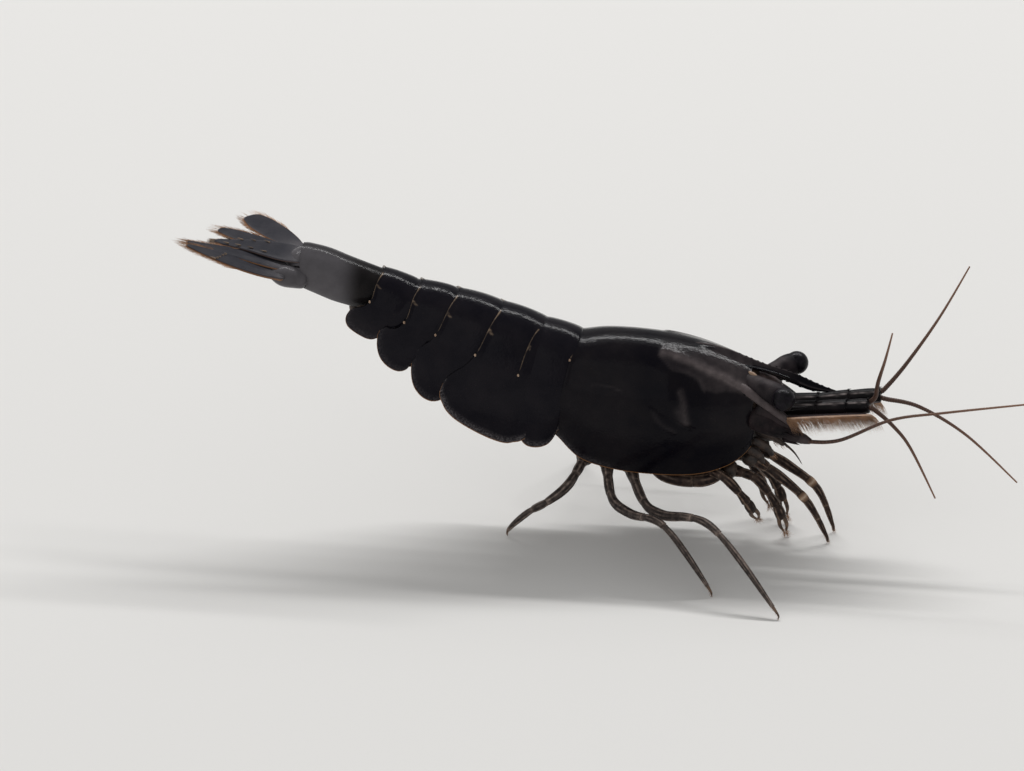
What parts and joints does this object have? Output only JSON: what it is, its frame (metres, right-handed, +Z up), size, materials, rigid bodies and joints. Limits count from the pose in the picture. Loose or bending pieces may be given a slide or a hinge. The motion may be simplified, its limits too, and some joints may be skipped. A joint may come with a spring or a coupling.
{
  "type": "aquarium shrimp",
  "caption": "Small black freshwater shrimp standing head down to feed, with raised tail fan, stalked eyes, long feelers and thin jointed legs; a still model.",
  "frame": {"origin": "middle of the bounding box in X and Y, on the floor that the feet stand on", "axes": "+X towards the head, +Y to the animal's left side, +Z up"},
  "size_m": [0.032, 0.013, 0.0112],
  "materials": {
    "shell": "smooth wet near-black shell with brown joints",
    "tail_shell": "smooth dark grey shell, thinner and slightly clear",
    "limb_shell": "dark brown shell with pale tan joints",
    "feeler_shell": "brown, ringed",
    "eye_surface": "very dark, fine facets",
    "underside": "soft brown skin between the legs"
  },
  "bodies": {
    "root": {"carapace": "shell", "abdomen_1": "shell", "abdomen_2": "shell", "abdomen_3": "shell", "abdomen_4": "shell", "abdomen_5": "tail_shell", "abdomen_6": "tail_shell", "telson": "tail_shell", "uropod_right_base": "tail_shell", "uropod_right_outer": "tail_shell", "uropod_right_inner": "tail_shell", "uropod_left_base": "tail_shell", "uropod_left_outer": "tail_shell", "uropod_left_inner": "tail_shell", "thorax_keel": "underside", "mouthparts": "underside", "eye_right": "eye_surface", "eyestalk_right": "shell", "first_feeler_stem_right": "shell", "second_feeler_stem_right": "shell", "feeler_scale_right": "limb_shell", "second_feeler_right": "feeler_shell", "whip_right_lower": "feeler_shell", "whip_right_upper": "feeler_shell", "feeding_leg_right": "limb_shell", "leg_1_right": "limb_shell", "leg_2_right": "limb_shell", "leg_3_right": "limb_shell", "leg_4_right": "limb_shell", "leg_5_right": "limb_shell", "swimmeret_1_right": "limb_shell", "swimmeret_2_right": "limb_shell", "swimmeret_3_right": "limb_shell", "swimmeret_4_right": "limb_shell", "swimmeret_5_right": "limb_shell", "eye_left": "eye_surface", "eyestalk_left": "shell", "first_feeler_stem_left": "shell", "second_feeler_stem_left": "shell", "feeler_scale_left": "limb_shell", "second_feeler_left": "feeler_shell", "whip_left_lower": "feeler_shell", "whip_left_upper": "feeler_shell", "feeding_leg_left": "limb_shell", "leg_1_left": "limb_shell", "leg_2_left": "limb_shell", "leg_3_left": "limb_shell", "leg_4_left": "limb_shell", "leg_5_left": "limb_shell", "swimmeret_1_left": "limb_shell", "swimmeret_2_left": "limb_shell", "swimmeret_3_left": "limb_shell", "swimmeret_4_left": "limb_shell", "swimmeret_5_left": "limb_shell"}
  },
  "joints": []
}
